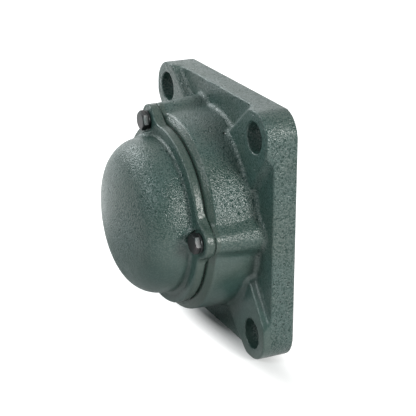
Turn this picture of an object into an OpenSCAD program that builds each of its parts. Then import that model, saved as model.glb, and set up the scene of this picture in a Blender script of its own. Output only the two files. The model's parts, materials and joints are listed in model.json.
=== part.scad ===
// Four-bolt flange bearing, closed type.
// A square cast housing carries a self-aligning ball-bearing insert, and a bolted cast cover shuts the front.
// Z is up and the shaft lies along Y. The flange bolts to a wall with its back face on the plane y = 0,
// and the cover points towards -Y. Sizes are in mm.
// Every piece is drawn in a forward frame, where X and Y span the flange and Z counts out from the wall.
// The module forward() turns that frame onto the shaft line.

/* [Flange] */

// distance between bolt holes, both ways
bolt_pitch = 102; // [99:0.5:105]
// corner radius of the square flange, centred on the bolt holes
corner_r = 13.25; // [12:0.25:16.5]
// diameter of the four bolt holes
bolt_hole_d = 15.5; // [13:0.5:17]
// thickness of the plate between the corners
flange_t = 12.5; // [11:0.5:13]
// thickness at the bolt holes
land_t = 16.5; // [15:0.5:18]

/* [Housing] */

// radius of the hub where it leaves the flange
hub_foot_r = 51.9; // [51.5:0.1:53]
// radius of the hub at its front edge
hub_front_r = 50.7; // [50:0.1:51.2]
// distance from the wall to the cover joint
hub_depth = 38.2; // [38:0.1:40]
// distance from the wall to the middle of the balls
race_depth = 21; // [21:0.1:21.4]

/* [Cover] */

// outside radius of the domed part
dome_r = 40; // [39:0.25:41]
// distance from the wall to the top of the dome
dome_depth = 69.3; // [68:0.1:76]
// wall thickness of the casting
cover_wall = 5; // [4:0.25:5.5]
// thickness of the clamped rim
rim_t = 4.7; // [4:0.1:6]
// distance of the cover screws from the shaft line
screw_r = 48; // [47.8:0.1:48.4]

/* [Bearing insert] */

// shaft diameter
shaft_d = 40; // [36:0.5:41]
// length of the inner ring in front of the balls
ring_front = 30.2; // [29:0.1:32]
// length of the inner ring behind the balls
ring_back = 19; // [17:0.1:20]
// diameter of one ball
ball_d = 12; // [11.6:0.1:12.2]

/* [Hidden] */

$fn = 64;

// clearances between pieces
seat_gap = 0.05;
ball_gap = 0.03;
pocket_gap = 0.25;
thread_gap = 0.05;
spigot_gap = 0.1;
seal_gap = 0.12;
press_gap = 0.02;
pin_gap = 0.05;

// how far one solid runs into the next, and how far a cut runs past a face
overlap = 1;

// flange: the land round a bolt hole, and the web that joins it to the hub
flange_w = bolt_pitch + 2 * corner_r;
land_r = bolt_hole_d / 2 + 6.15;
land_rise = land_t - flange_t;
web_inset = 0.2;
web_spread = 0.1;
web_root_in = 9.9;
web_root_r = hub_foot_r - web_root_in;

// hub: fillet at its foot and bevel at its front edge
foot_fillet = 3.5;
hub_core_r = 36;
bevel_in = 3.2;
bevel_down = 2.8;
bevel_break = 0.7;

// insert: a barrel with a spherical outside
insert_r = 40;
insert_w = 21;
seat_r = insert_r + seat_gap;
pitch_r = (insert_r + shaft_d / 2) / 2;
ball_count = 9;
ball_r = ball_d / 2 - ball_gap;
groove_r = ball_d / 2 * 1.035;
race_offset = groove_r - ball_d / 2;
outer_land_r = pitch_r + 0.375 * ball_d;
collar_r = pitch_r - ball_d / 3;
edge_break = 1;

// rubber seals, and the grooves that hold them in the outer ring
seal_seat_r = outer_land_r + 1.8;
seal_lip_r = outer_land_r + 1.1;
seal_in = 8.2;
seal_out = 9.6;

// locating pin and its keyway in the seat
pin_r = 2;
pin_foot_r = 38;
pin_len = 4.1;
keyway_w = 2 * pin_r + 0.2;
keyway_r = pin_foot_r + pin_len + 0.5;
keyway_back = 4;

// openings of the housing on both sides of the seat
back_open_r = 37.5;
front_open_r = 38.6;
seat_half_w = 13;

// joint between housing and cover
gasket_t = 0.6;
joint_z = hub_depth + gasket_t;
rim_z = joint_z + rim_t;
rim_r = 46.3;
register_r = 43.2;
register_depth = 2.5;
dome_corner_r = 17.3;
dome_crown_r = 94;
// how far the drawing of the dome runs on below the joint
cover_skirt = 9;

// the three cover screws: angles round the shaft, counted from +X towards +Z
top_angle = 107.5;
side_angle = 1.5;
low_angle = 236;
screw_angles = [top_angle, side_angle, low_angle];
// how far each screw head and each washer is turned about its own axis
head_turn = [-15 - top_angle, -5 - side_angle, 11];
split_turn = [100, 200, 60];
screw_d = 6;
screw_len = 16;
screw_hole_r = screw_d / 2 + 0.3;
tap_depth = 14;
head_af = 9;
head_t = 3.1;
washer_r = 4.8;
washer_t = 1.4;
washer_split = 0.8;
spotface_r = 6.6;
seat_z = rim_z - 0.1;
lug_r = 7.9;
rib_out = 1.4;
rib_r = 6.4;
rib_foot_r = 8.4;

// set screws in the front end of the inner ring
set_screw_d = 8;
set_screw_len = 8;
set_screw_from_end = 8;
set_angle_a = 90;
set_angle_b = 210;

// grease feed at 9 o'clock
nipple_z = 19;
nipple_d = 6;
nipple_pad_r = 53.4;
nipple_head = 8.2;
check_ball_r = 0.95;
grease_groove_w = 5;

// turns the forward frame onto the shaft line
module forward() {
    rotate([90, 0, 0]) children();
}

// the same for the pieces of the insert, which are drawn about the middle of the balls
module insert() {
    forward() translate([0, 0, race_depth]) children();
}

// puts a piece on a ray at this angle, r out from the shaft line
module at_angle(a, r) {
    rotate([0, 0, a]) translate([r, 0, 0]) children();
}

// square with round corners, drawn from true circles
module rounded_square(w, r) {
    square([w, w - 2 * r], center = true);
    square([w - 2 * r, w], center = true);
    for (sx = [-1, 1])
        for (sy = [-1, 1])
            translate([sx * (w / 2 - r), sy * (w / 2 - r)]) circle(r = r);
}

module housing() {
    color([0.28, 0.35, 0.33]) forward() difference() {
        union() {
            linear_extrude(flange_t) rounded_square(flange_w, corner_r);
            intersection() {
                linear_extrude(land_t + overlap) rounded_square(flange_w, corner_r);
                union() {
                    for (a = [45, 135, 225, 315]) rotate([0, 0, a]) corner_land();
                }
            }
            rotate_extrude() hub_profile();
            for (a = screw_angles) at_angle(a, screw_r + rib_out) screw_rib();
            nipple_pad();
        }
        rotate_extrude() bore_profile();
        for (sx = [-1, 1])
            for (sy = [-1, 1])
                translate([sx * bolt_pitch / 2, sy * bolt_pitch / 2, -overlap])
                    cylinder(d = bolt_hole_d, h = land_t + 3 * overlap);
        loading_slots();
        for (a = screw_angles)
            at_angle(a, screw_r) translate([0, 0, hub_depth - tap_depth])
                cylinder(d = screw_d + 2 * thread_gap, h = tap_depth + overlap);
        grease_feed();
    }
}

// raised land round one bolt hole, running in to the hub with sloped sides
module corner_land() {
    hole_u = bolt_pitch / 2 * sqrt(2);
    z0 = flange_t - overlap;
    rise = land_rise + overlap;
    top_out = land_r - web_inset;
    top_in = top_out + (hole_u - web_root_r) * web_spread;
    foot_out = top_out + rise;
    foot_in = top_in + rise;
    translate([hole_u, 0, z0]) cylinder(r1 = land_r + rise, r2 = land_r, h = rise);
    polyhedron(
        points = [
            [web_root_r, -foot_in, z0], [hole_u, -foot_out, z0],
            [hole_u, foot_out, z0], [web_root_r, foot_in, z0],
            [web_root_r, -top_in, land_t], [hole_u, -top_out, land_t],
            [hole_u, top_out, land_t], [web_root_r, top_in, land_t]
        ],
        faces = [[0, 1, 2, 3], [7, 6, 5, 4], [0, 4, 5, 1], [1, 5, 6, 2], [2, 6, 7, 3], [3, 7, 4, 0]]
    );
}

// outside of the hub; the fillet circle sits a little low, so that it cuts the flange cleanly
module hub_profile() {
    fillet_r = hub_foot_r + foot_fillet;
    fillet_z = flange_t + foot_fillet;
    root_z = flange_t / 3;
    bevel_z = hub_depth - bevel_down;
    low_by = 0.15;
    difference() {
        polygon([
            [hub_core_r, root_z], [fillet_r, root_z], [fillet_r, fillet_z], [hub_foot_r, fillet_z],
            [hub_front_r, bevel_z], [hub_front_r - bevel_break, bevel_z + 0.9],
            [hub_front_r - bevel_in, hub_depth], [hub_core_r, hub_depth]
        ]);
        translate([fillet_r, fillet_z - low_by]) circle(r = foot_fillet);
    }
}

// inside of the housing: back opening, spherical seat, grease groove, front opening and cover register
module bore_profile() {
    mouth_r = back_open_r + 2;
    mouth_z = 1.5;
    seat_back = race_depth - seat_half_w;
    seat_front = race_depth + 8;
    groove_bottom_r = seat_r + 1.15;
    groove_z = race_depth - 7;
    register_z = hub_depth - register_depth - 0.3;
    inner = back_open_r - 7.5;
    difference() {
        union() {
            translate([0, -overlap]) square([back_open_r, seat_back + 3 * overlap]);
            intersection() {
                translate([0, race_depth]) circle(r = seat_r, $fn = 96);
                translate([0, seat_back]) square([seat_r + overlap, 2 * seat_half_w]);
            }
            translate([0, seat_front]) square([front_open_r, hub_depth - seat_front + overlap]);
            translate([0, register_z]) square([register_r, hub_depth - register_z + overlap]);
            translate([inner, groove_z]) square([groove_bottom_r - inner, grease_groove_w]);
            polygon([[inner, -overlap], [mouth_r, -overlap], [back_open_r, mouth_z], [inner, mouth_z]]);
        }
        translate([-2 * seat_r, -hub_depth]) square([2 * seat_r, 3 * hub_depth]);
    }
}

// round rib on the hub that takes one cover screw, with flanks that run into the hub below its bevel
module screw_rib() {
    z0 = flange_t - overlap;
    below_joint = 0.1;
    flank_r = rib_r - 0.2;
    flank_foot = rib_foot_r + 0.4;
    flank_in = 7;
    translate([0, 0, z0]) cylinder(r1 = rib_foot_r, r2 = rib_r, h = hub_depth - z0 - below_joint);
    translate([0, 0, z0]) linear_extrude(hub_depth - z0 - bevel_down + 0.4)
        polygon([[-flank_in, -flank_foot], [0, -flank_r], [0, flank_r], [-flank_in, flank_foot]]);
}

// pad under the grease nipple
module nipple_pad() {
    pad_r = nipple_d / 2 + 2.6;
    pad_h = 8;
    translate([-nipple_pad_r, 0, nipple_z]) rotate([0, 90, 0]) cylinder(r = pad_r, h = pad_h);
}

// two notches that let the insert in edgeways, and the keyway for its locating pin
module loading_slots() {
    depth = hub_depth - race_depth;
    slot_w = insert_w + 0.5;
    slot_r = seat_r + 0.1;
    keyway_len = depth + keyway_back - overlap;
    translate([-slot_w / 2, -slot_r, race_depth]) cube([slot_w, 2 * slot_r, depth - overlap]);
    translate([-keyway_w / 2, 0, race_depth - keyway_back]) cube([keyway_w, keyway_r, keyway_len]);
}

// drilling from the nipple to the groove in the seat
module grease_feed() {
    drill_r = 1.5;
    pad_h = 8;
    translate([-nipple_pad_r - overlap, 0, nipple_z]) rotate([0, 90, 0]) {
        cylinder(r = drill_r, h = nipple_pad_r - seat_r + 3 * overlap);
        cylinder(d = nipple_d + 2 * thread_gap, h = pad_h - 0.6);
    }
}

// outline of the dome, drawn in from its outside by the given inset
module dome_profile(inset) {
    corner = dome_corner_r - inset;
    crown = dome_crown_r - inset;
    crown_z = dome_depth - dome_crown_r;
    side = dome_r - inset;
    foot_z = joint_z - cover_skirt;
    // the corner circle touches the side and sits inside the crown circle, which it meets at (meet_r, meet_z)
    corner_x = side - corner;
    corner_z = crown_z + sqrt(pow(crown - corner, 2) - corner_x * corner_x);
    k = crown / (crown - corner);
    meet_r = corner_x * k;
    meet_z = crown_z + (corner_z - crown_z) * k;
    polygon([[0, foot_z], [side, foot_z], [side, corner_z], [meet_r, meet_z], [0, meet_z]]);
    translate([corner_x, corner_z]) circle(r = corner, $fn = 96);
    intersection() {
        translate([0, crown_z]) circle(r = crown, $fn = 360);
        translate([0, corner_z]) square([meet_r, crown]);
    }
}

// wall of the cover: dome, and the spigot that centres it in the housing
module cover_profile() {
    core = dome_r - 2 * cover_wall;
    spigot_r = register_r - spigot_gap;
    spigot_z = hub_depth - register_depth;
    foot_in = 0.5;
    foot_out = 1.8;
    dome_draft = 0.05;
    relief_r = spigot_r - 2.9;
    relief_z = hub_depth - 1;
    relief_end = hub_depth + 4.2;
    tall = dome_depth;
    difference() {
        union() {
            intersection() {
                dome_profile(0);
                translate([0, joint_z]) square([tall, tall]);
            }
            polygon([
                [core, spigot_z], [spigot_r - foot_in, spigot_z],
                [spigot_r, spigot_z + foot_in], [spigot_r, joint_z + overlap],
                [dome_r + foot_out, joint_z + overlap],
                [dome_r + foot_out, rim_z], [dome_r + foot_in, rim_z + foot_in],
                [dome_r - dome_draft, rim_z + foot_out], [core, rim_z + foot_out]
            ]);
        }
        intersection() {
            dome_profile(cover_wall);
            translate([0, joint_z - 8.3]) square([tall, tall]);
        }
        polygon([
            [core, spigot_z - 5], [relief_r, spigot_z - 5], [relief_r, relief_z],
            [dome_r - cover_wall - 0.01, relief_end], [core, relief_end]
        ]);
    }
}

module cover() {
    color([0.27, 0.34, 0.33]) forward() difference() {
        union() {
            rotate_extrude() cover_profile();
            translate([0, 0, joint_z]) linear_extrude(rim_t) difference() {
                rim_plan(0);
                circle(r = dome_r + 1);
            }
            for (a = screw_angles) rotate([0, 0, a]) cover_gusset();
        }
        for (a = screw_angles) at_angle(a, screw_r) {
            translate([0, 0, joint_z - 2 * overlap]) cylinder(r = screw_hole_r, h = rim_t + 4 * overlap);
            translate([0, 0, seat_z]) cylinder(r = spotface_r, h = dome_depth - seat_z);
        }
    }
}

// outline of the clamped rim with its three ears, drawn in by the given inset
module rim_plan(inset) {
    ear = lug_r - inset;
    flare_in = [rim_r - 2.3, ear + 1.9];
    flare_out = [rim_r - 0.3, ear + 1.2];
    circle(r = rim_r - inset);
    for (a = screw_angles)
        rotate([0, 0, a]) {
            translate([screw_r, 0]) circle(r = ear);
            polygon([
                [flare_in[0], -flare_in[1]], [flare_out[0], -flare_out[1]], [screw_r, -ear],
                [screw_r, ear], [flare_out[0], flare_out[1]], [flare_in[0], flare_in[1]]
            ]);
        }
}

// gusset between the side of the dome and one ear
module cover_gusset() {
    gusset_r = 8;
    gusset_tip_r = 0.5;
    gusset_h = 7.5;
    gusset_in = dome_r - 3.3;
    gusset_w = 3 * gusset_r;
    intersection() {
        translate([dome_r - overlap, 0, rim_z - 0.5])
            cylinder(r1 = gusset_r, r2 = gusset_tip_r, h = gusset_h);
        translate([gusset_in, -gusset_w / 2, rim_z - overlap]) cube([gusset_w, gusset_w, 2 * gusset_h]);
    }
}

module cover_gasket() {
    inset = 0.8;
    color([0.1, 0.1, 0.1]) forward() translate([0, 0, hub_depth]) linear_extrude(gasket_t) difference() {
        rim_plan(inset);
        circle(r = register_r + spigot_gap);
        for (a = screw_angles) at_angle(a, screw_r) circle(r = screw_hole_r - 0.05);
    }
}

// hex-head screw in ear k
module hex_screw(k) {
    tip_h = 0.7;
    tip_in = 0.7;
    color([0.2, 0.19, 0.18])
        forward() at_angle(screw_angles[k], screw_r) translate([0, 0, seat_z + washer_t]) {
            intersection() {
                rotate([0, 0, head_turn[k]]) cylinder(d = head_af / cos(30), h = head_t, $fn = 6);
                cylinder(r1 = head_af / 2 + 2.3, r2 = head_af / 2 - 0.3, h = head_t + 0.2);
            }
            translate([0, 0, tip_h - screw_len]) cylinder(d = screw_d, h = screw_len - tip_h + 0.1);
            translate([0, 0, -screw_len]) cylinder(d1 = screw_d - 2 * tip_in, d2 = screw_d, h = tip_h);
        }
}

module cover_screw_top() {
    hex_screw(0);
}

module cover_screw_side() {
    hex_screw(1);
}

module cover_screw_low() {
    hex_screw(2);
}

// split spring washer under screw head k
module lock_washer(k) {
    cut_h = washer_t + 2 * overlap;
    color([0.12, 0.12, 0.12])
        forward() at_angle(screw_angles[k], screw_r) translate([0, 0, seat_z]) difference() {
            cylinder(r = washer_r, h = washer_t);
            translate([0, 0, -overlap]) cylinder(r = screw_d / 2 + 0.15, h = cut_h);
            rotate([0, 0, split_turn[k]]) translate([0, -washer_split / 2, -overlap])
                cube([2 * washer_r, washer_split, cut_h]);
        }
}

module lock_washer_top() {
    lock_washer(0);
}

module lock_washer_side() {
    lock_washer(1);
}

module lock_washer_low() {
    lock_washer(2);
}

// outer ring: spherical outside, race, seal grooves, grease holes and the blind hole for the pin
module outer_ring() {
    half = insert_w / 2;
    grease_r = 0.8;
    grease_z = -5.9;
    color([0.62, 0.63, 0.64]) insert() difference() {
        rotate_extrude() difference() {
            intersection() {
                circle(r = insert_r, $fn = 96);
                translate([outer_land_r, -half]) square([insert_r - outer_land_r + overlap, insert_w]);
            }
            translate([pitch_r - race_offset, 0]) circle(r = groove_r);
            for (s = [0, 1]) mirror([0, s]) seal_groove();
        }
        for (a = [60, 240])
            rotate([0, 0, a]) translate([outer_land_r - 1.5, 0, grease_z]) rotate([0, 90, 0])
                cylinder(r = grease_r, h = 9, $fn = 24);
        translate([0, pin_foot_r - 0.2, 0]) rotate([-90, 0, 0]) cylinder(r = pin_r + pin_gap, h = 5);
    }
}

// undercut that holds a seal, and the wider mouth in front of it
module seal_groove() {
    mouth_z = seal_out - 0.01;
    translate([pitch_r, seal_in]) square([seal_seat_r - pitch_r, seal_out - seal_in]);
    translate([pitch_r, mouth_z]) square([seal_lip_r - pitch_r, insert_w / 2 + overlap - mouth_z]);
}

// inner ring: bore, race, and two tapped holes for the set screws
module inner_ring() {
    bore_r = shaft_d / 2;
    c = edge_break;
    color([0.66, 0.67, 0.68]) insert() difference() {
        rotate_extrude() difference() {
            polygon([
                [bore_r, c - ring_back], [bore_r + c, -ring_back], [collar_r - c, -ring_back],
                [collar_r, c - ring_back], [collar_r, ring_front - c], [collar_r - c, ring_front],
                [bore_r + c, ring_front], [bore_r, ring_front - c]
            ]);
            translate([pitch_r + race_offset, 0]) circle(r = groove_r);
        }
        for (a = [set_angle_a, set_angle_b])
            rotate([0, 0, a]) translate([bore_r - 2, 0, ring_front - set_screw_from_end]) rotate([0, 90, 0])
                cylinder(d = set_screw_d + 2 * thread_gap, h = collar_r - bore_r + 6);
    }
}

// set screw with a hex socket and a cup point, just short of the shaft
module set_screw(a) {
    tip_r = shaft_d / 2 + 0.3;
    tip_h = 1;
    socket_af = 4;
    cup_r = 2;
    color([0.16, 0.16, 0.17]) insert() rotate([0, 0, a])
        translate([tip_r, 0, ring_front - set_screw_from_end]) rotate([0, 90, 0]) difference() {
            union() {
                cylinder(d1 = set_screw_d - 2, d2 = set_screw_d, h = tip_h);
                translate([0, 0, tip_h]) cylinder(d = set_screw_d, h = set_screw_len - tip_h);
            }
            translate([0, 0, set_screw_len / 2])
                cylinder(d = socket_af / cos(30), h = set_screw_len / 2 + overlap, $fn = 6);
            translate([0, 0, -0.01]) cylinder(r1 = cup_r, r2 = 0.4, h = 1.2);
        }
}

module set_screw_a() {
    set_screw(set_angle_a);
}

module set_screw_b() {
    set_screw(set_angle_b);
}

// one-piece snap cage, open towards the front
module cage() {
    cage_t = 0.45 * ball_d;
    cage_back = ball_r + 1.4;
    cage_front = 2.6;
    color([0.75, 0.68, 0.5]) insert() difference() {
        rotate_extrude()
            translate([pitch_r - cage_t / 2, -cage_back]) square([cage_t, cage_back + cage_front]);
        for (k = [0:ball_count - 1])
            at_angle(k * 360 / ball_count, pitch_r) sphere(r = ball_d / 2 + pocket_gap);
    }
}

module ball(k) {
    a = (k - 1) * 360 / ball_count;
    color([0.75, 0.76, 0.78]) insert() at_angle(a, pitch_r) sphere(r = ball_r, $fn = 28);
}

// rubber seal held in the outer ring, dished towards its lip on the collar; s is 1 for the front one
module seal(s) {
    held_r = seal_seat_r - seat_gap;
    lip_r = collar_r + seal_gap;
    dish_out = held_r - 3.3;
    dish_in = collar_r + 4.5;
    throat_r = collar_r + 1.4;
    inside = seal_in + seat_gap;
    outside = seal_out - seat_gap;
    web = seal_in + 1;
    color([0.12, 0.12, 0.13]) insert() scale([1, 1, s]) rotate_extrude() polygon([
        [held_r, inside], [held_r, outside], [dish_out, outside], [dish_in, web], [throat_r, web],
        [lip_r, seal_out], [lip_r, seal_out - 0.5], [throat_r, seal_in], [dish_in, seal_in],
        [dish_out, inside]
    ]);
}

module seal_front() {
    seal(1);
}

module seal_back() {
    seal(-1);
}

// pressed slinger on the inner ring, outside the seal
module slinger(s) {
    sleeve_r = collar_r + press_gap;
    sheet = 1;
    edge_r = seal_lip_r - 0.9;
    turned_in = 0.3;
    sleeve_len = 3.8;
    inside = insert_w / 2 - 0.3;
    outside = inside + 1.3;
    sleeve_end = inside + sleeve_len;
    color([0.7, 0.7, 0.68]) insert() scale([1, 1, s]) rotate_extrude() polygon([
        [sleeve_r, inside], [edge_r - sheet, inside], [edge_r - sheet + turned_in, inside - turned_in],
        [edge_r, inside - turned_in], [edge_r, outside - turned_in], [edge_r - turned_in, outside],
        [sleeve_r + sheet, outside], [sleeve_r + sheet, sleeve_end], [sleeve_r, sleeve_end]
    ]);
}

module slinger_front() {
    slinger(1);
}

module slinger_back() {
    slinger(-1);
}

// pin in the outer ring that keeps it from turning, free to slide fore and aft in the keyway
module locating_pin() {
    tip_h = 0.5;
    color([0.6, 0.6, 0.6]) insert() translate([0, pin_foot_r, 0]) rotate([-90, 0, 0]) {
        cylinder(r = pin_r, h = pin_len - tip_h);
        translate([0, 0, pin_len - tip_h]) cylinder(r1 = pin_r, r2 = pin_r - 0.4, h = tip_h);
    }
}

// grease nipple: thread, hex, neck, head and the seat of its check ball
module grease_nipple() {
    thread_r = nipple_d / 2;
    thread_len = 5;
    hex_af = 8;
    hex_h = 3;
    hex_seat = 0.2;
    neck_r = 2.2;
    neck_end = 4.4;
    head_r = 3.2;
    tip_h = 2;
    rim_h = 0.6;
    head_end = nipple_head - tip_h;
    head_start = head_end - rim_h;
    tip_r = 1.7;
    bore_r = 0.9;
    color([0.72, 0.66, 0.42]) forward()
        translate([-nipple_pad_r, 0, nipple_z]) rotate([0, -90, 0]) difference() {
            union() {
                rotate_extrude() polygon([
                    [0, -thread_len], [thread_r - 0.4, -thread_len], [thread_r, 0.4 - thread_len],
                    [thread_r, hex_seat], [head_r, hex_seat], [head_r, hex_h + hex_seat],
                    [neck_r + hex_seat, hex_h + 3 * hex_seat], [neck_r, neck_end], [head_r, head_start],
                    [head_r, head_end], [tip_r, nipple_head], [0, nipple_head]
                ]);
                cylinder(d = hex_af / cos(30), h = hex_h, $fn = 6);
            }
            translate([0, 0, -thread_len - overlap]) cylinder(r = bore_r, h = nipple_head + thread_len - 1);
            translate([0, 0, nipple_head - 2.1]) cylinder(r = check_ball_r + 0.2, h = 1.4);
            translate([0, 0, nipple_head - overlap]) cylinder(r = check_ball_r - 0.25, h = 3);
        }
}

module nipple_ball() {
    ball_z = nipple_head - 1.4;
    color([0.75, 0.76, 0.78]) forward()
        translate([-nipple_pad_r - ball_z, 0, nipple_z]) sphere(r = check_ball_r, $fn = 20);
}

housing();
cover();
cover_gasket();
cover_screw_top();
cover_screw_side();
cover_screw_low();
lock_washer_top();
lock_washer_side();
lock_washer_low();
outer_ring();
inner_ring();
cage();
ball(1);  // ball_1
ball(2);  // ball_2
ball(3);  // ball_3
ball(4);  // ball_4
ball(5);  // ball_5
ball(6);  // ball_6
ball(7);  // ball_7
ball(8);  // ball_8
ball(9);  // ball_9
seal_front();
seal_back();
slinger_front();
slinger_back();
set_screw_a();
set_screw_b();
locating_pin();
grease_nipple();
nipple_ball();
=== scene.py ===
# %% [markdown]
# A four-bolt flange bearing with a closed cover. On the real thing two sand castings, painted dark
# green-grey, hold a steel ball bearing for the end of a shaft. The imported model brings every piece
# at its real size and place. This lesson gives the pieces their finish, and makes the castings,
# screws and washers again as soft-edged surfaces, because a casting has no sharp corner and a plain
# solid shows that at once.

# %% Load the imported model
import functools
import json
import math

import bpy
import numpy as np
from mathutils import Matrix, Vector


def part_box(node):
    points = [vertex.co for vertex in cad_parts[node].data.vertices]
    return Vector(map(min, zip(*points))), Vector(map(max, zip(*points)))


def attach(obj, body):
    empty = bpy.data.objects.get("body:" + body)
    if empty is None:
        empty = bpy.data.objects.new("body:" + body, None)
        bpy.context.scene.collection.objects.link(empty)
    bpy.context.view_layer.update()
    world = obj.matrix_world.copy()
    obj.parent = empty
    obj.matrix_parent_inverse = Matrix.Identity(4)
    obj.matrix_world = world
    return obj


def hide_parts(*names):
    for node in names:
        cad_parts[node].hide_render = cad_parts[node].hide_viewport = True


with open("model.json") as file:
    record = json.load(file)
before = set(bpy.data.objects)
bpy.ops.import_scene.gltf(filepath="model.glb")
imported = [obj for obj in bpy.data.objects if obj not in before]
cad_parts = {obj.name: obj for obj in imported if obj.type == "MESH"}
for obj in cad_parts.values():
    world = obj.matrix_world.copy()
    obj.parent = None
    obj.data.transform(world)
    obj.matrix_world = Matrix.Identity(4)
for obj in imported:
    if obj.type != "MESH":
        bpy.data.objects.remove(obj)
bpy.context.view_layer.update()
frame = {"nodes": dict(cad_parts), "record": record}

# %% [markdown]
# All shapes here are worked out in millimetres, and turned into metres when a mesh is made. The
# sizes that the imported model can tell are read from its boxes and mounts, so that both models
# always agree. In the shared frame Z is up and the shaft lies along Y, with the wall at y = 0 and
# the cover towards -Y. It is easier to think of the distance from the wall, so the functions below
# turn y into s = -y.

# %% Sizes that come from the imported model
MM = 0.001


def box_mm(node):
    """Lowest and highest corner of a node, in millimetres."""
    low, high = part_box(node)
    return np.array(low) / MM, np.array(high) / MM


mounts = {mount["name"]: mount for mount in frame["record"]["mounts"]}
flange_half = box_mm("housing")[1][0]
gasket_low, gasket_high = box_mm("cover_gasket")
hub_depth = -gasket_high[1]
joint_s = -gasket_low[1]
dome_depth = -box_mm("cover")[0][1]
race_s = -(box_mm("ball_1")[0][1] + box_mm("ball_1")[1][1]) / 2
bolt_half = mounts["flange_bolts"]["dims"]["spacing_x_mm"] / 2
bolt_r = mounts["flange_bolts"]["dims"]["hole_r_mm"]
print(f"flange {2 * flange_half:.1f}, bolt pitch {2 * bolt_half:.0f}, balls at s = {race_s:.1f},",
      f"joint at {joint_s:.1f}, dome to {dome_depth:.1f}")

# %% [markdown]
# The three cover screws sit at 107.5, 1.5 and 236 degrees round the shaft. Their middles are read
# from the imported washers, so the castings, washers and screws share them.

# %% Places of the cover screws
screw_names = ["top", "side", "low"]
screw_places = []
for name in screw_names:
    low, high = box_mm("lock_washer_" + name)
    screw_places.append(((low[0] + high[0]) / 2, (low[2] + high[2]) / 2))
screw_circle = float(np.hypot(*screw_places[1]))
print("cover screws at", np.round(screw_places, 1).tolist(), "on radius", round(screw_circle, 2))

# %% [markdown]
# The castings could be grids that are bent into shape, but their ribs, lands and ears run into one
# another, and a grid has no good way round such a place. So they are made from distance functions.
# Such a function takes points and returns how far each one is outside the shape, with a minus sign
# inside. Two shapes are joined by the smaller value, and a hole is cut by the larger one. The two
# blends below do the same, but leave a true radius where the shapes meet, which is just what a
# sand casting has: fillets in the inner corners and soft outer edges.

# %% Blends between shapes
def joined(a, b, radius):
    """Union of two distances; the inner corner gets a fillet of this radius.

    Below the radius the distance is measured from the fillet's centre line: the radius less the
    length of the two shortfalls, taken as the sides of a right triangle.
    """
    shortfall = np.hypot(np.maximum(radius - a, 0), np.maximum(radius - b, 0))
    return np.maximum(radius, np.minimum(a, b)) - shortfall


def common(a, b, radius):
    """Intersection of two distances, as joined with all signs turned; rounds the outer edge."""
    excess = np.hypot(np.maximum(radius + a, 0), np.maximum(radius + b, 0))
    return np.minimum(-radius, np.maximum(a, b)) + excess


def any_of(*parts):
    """Union without a blend: the smallest of the distances."""
    return functools.reduce(np.minimum, parts)


def all_of(*parts):
    """Intersection with sharp edges: the largest of the distances."""
    return functools.reduce(np.maximum, parts)


def between(s, low, high):
    """Distance to a slab between two planes."""
    return np.maximum(low - s, s - high)


edge_test = float(common(-1.0, -1.0, 2.0))
print("1 mm inside two faces, with an edge radius of 2:", round(edge_test, 3))

# %% [markdown]
# The slope of a distance function points straight away from the surface. It serves to put points
# exactly on the surface, and to move them along it.

# %% Slope of a distance
def gradient(distance, points, step=0.02):
    """Distance at each point and its slope: the difference over a small step, along each axis."""
    slope = np.empty_like(points)
    for k in range(3):
        shift = np.eye(3)[k] * step
        ahead, behind = distance(*(points + shift).T), distance(*(points - shift).T)
        slope[:, k] = (ahead - behind) / (2 * step)
    return distance(*points.T), slope


def ball(x, y, z):
    """Distance to a ball of 5 mm radius, to try the helpers on."""
    return np.sqrt(x * x + y * y + z * z) - 5


ball_slope = gradient(ball, np.array([[7.0, 0.0, 0.0]]))[1]
print("slope of a ball's distance on the x axis:", ball_slope.round(3))

# %% [markdown]
# A distance function becomes a mesh with a surface net. Space is cut into small boxes, and each
# box that the surface passes through gets one point. All of it is done on whole arrays, so a
# casting of 80,000 points takes a few seconds.

# %% Points of a surface net
def cell_sums(edge, axis):
    """Sum, for each grid cell, of the values on its four edges along one axis."""
    for other in range(3):
        if other != axis:
            n = edge.shape[other]
            edge = edge.take(range(n - 1), axis=other) + edge.take(range(1, n), axis=other)
    return edge


def net_points(value, lines):
    """Mean, for each cell, of the places where its edges cross zero, and which cells have one."""
    count = 0
    total = [0, 0, 0]
    for axis in range(3):
        n = value.shape[axis]
        lower, upper = value.take(range(n - 1), axis=axis), value.take(range(1, n), axis=axis)
        crossed = (lower < 0) != (upper < 0)
        share = np.where(crossed, lower / np.where(crossed, lower - upper, 1), 0)
        count = count + cell_sums(crossed.astype(np.int8), axis)
        for k in range(3):
            shape = [-1 if j == k else 1 for j in range(3)]
            along = lines[k].reshape(shape)
            if k == axis:
                step = np.diff(lines[k]).reshape(shape)
                place = along.take(range(n - 1), axis=k) + share * step
            else:
                place = np.broadcast_to(along, lower.shape)
            total[k] = total[k] + cell_sums(np.where(crossed, place, 0), axis)
    used = count > 0
    return np.stack([t[used] / count[used] for t in total], 1), used


ball_lines = [np.arange(-6, 6.5, 0.5)] * 3
ball_value = ball(*np.meshgrid(*ball_lines, indexing="ij"))
ball_net, ball_used = net_points(ball_value, ball_lines)
print("boxes on the surface of the ball:", len(ball_net), "of", ball_used.size)

# %% [markdown]
# Each box edge that crosses the surface gets one four-sided face between the points of the four
# boxes round it. The end of the edge that lies inside says which way the face has to look.

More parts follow.
